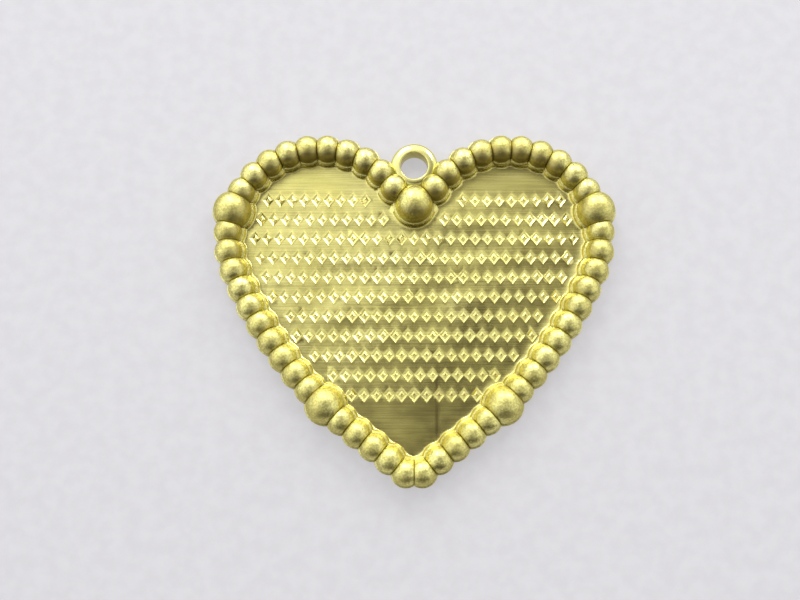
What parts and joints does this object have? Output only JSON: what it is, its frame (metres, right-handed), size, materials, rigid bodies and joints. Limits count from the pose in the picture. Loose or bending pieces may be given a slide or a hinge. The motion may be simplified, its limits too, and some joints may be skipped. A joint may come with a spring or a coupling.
{
  "type": "heart charm",
  "caption": "Flat brass heart charm with a sunk brushed field, a border of domed beads with larger beads at the cleft, shoulders and lower edges, and a hanging eye in the cleft.",
  "frame": {"origin": "axis of the hanging eye's hole, level with the flat back of the charm", "axes": "+X to the charm's right as it is looked at, +Y from the point of the heart towards the eye, +Z out of the decorated face"},
  "size_m": [0.0302, 0.0265, 0.0027],
  "materials": {
    "brass": "satin"
  },
  "bodies": {
    "root": {"heart_plate": "brass", "hanging_eye": "brass", "cleft_bead": "brass", "left_lobe_bead_01": "brass", "left_lobe_bead_02": "brass", "left_lobe_bead_03": "brass", "left_lobe_bead_04": "brass", "left_lobe_bead_05": "brass", "left_lobe_bead_06": "brass", "left_lobe_bead_07": "brass", "left_lobe_bead_08": "brass", "left_lobe_bead_09": "brass", "left_lobe_bead_10": "brass", "left_shoulder_bead": "brass", "left_side_bead_01": "brass", "left_side_bead_02": "brass", "left_side_bead_03": "brass", "left_side_bead_04": "brass", "left_side_bead_05": "brass", "left_side_bead_06": "brass", "left_side_bead_07": "brass", "left_side_bead_08": "brass", "left_side_bead_09": "brass", "left_side_bead_10": "brass", "left_lower_bead": "brass", "left_tip_bead_1": "brass", "left_tip_bead_2": "brass", "left_tip_bead_3": "brass", "left_tip_bead_4": "brass", "left_tip_bead_5": "brass", "right_lobe_bead_01": "brass", "right_lobe_bead_02": "brass", "right_lobe_bead_03": "brass", "right_lobe_bead_04": "brass", "right_lobe_bead_05": "brass", "right_lobe_bead_06": "brass", "right_lobe_bead_07": "brass", "right_lobe_bead_08": "brass", "right_lobe_bead_09": "brass", "right_lobe_bead_10": "brass", "right_shoulder_bead": "brass", "right_side_bead_01": "brass", "right_side_bead_02": "brass", "right_side_bead_03": "brass", "right_side_bead_04": "brass", "right_side_bead_05": "brass", "right_side_bead_06": "brass", "right_side_bead_07": "brass", "right_side_bead_08": "brass", "right_side_bead_09": "brass", "right_side_bead_10": "brass", "right_lower_bead": "brass", "right_tip_bead_1": "brass", "right_tip_bead_2": "brass", "right_tip_bead_3": "brass", "right_tip_bead_4": "brass", "right_tip_bead_5": "brass"}
  },
  "joints": []
}
